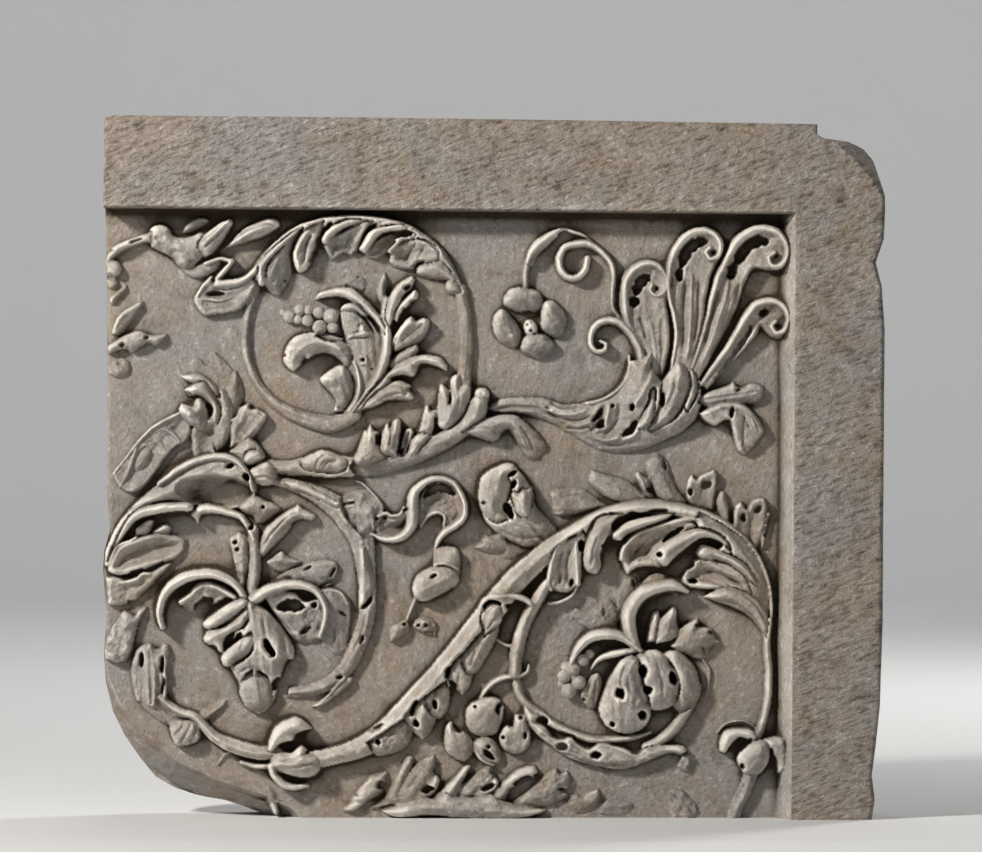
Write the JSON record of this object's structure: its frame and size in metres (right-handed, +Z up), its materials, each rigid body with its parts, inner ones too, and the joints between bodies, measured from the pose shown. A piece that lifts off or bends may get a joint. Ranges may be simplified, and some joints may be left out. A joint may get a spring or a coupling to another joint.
{
  "type": "marble relief plaque",
  "caption": "Thick marble relief block: acanthus scrolls with a bird, flowers and berries in a sunk field, under a plain band that turns down one side, broken at one corner.",
  "frame": {"origin": "centre of the bounding box on the underside, which the block stands on", "axes": "+X to the right as one faces the carving, -Y the carved front, +Z up"},
  "size_m": [0.786, 0.14, 0.705],
  "materials": {
    "marble": "weathered warm grey-beige marble, matt, worn pale on the ridges, brown in the recesses, claw-chisel marks on the plain band"
  },
  "bodies": {
    "root": {"relief_block": "marble"}
  },
  "joints": []
}
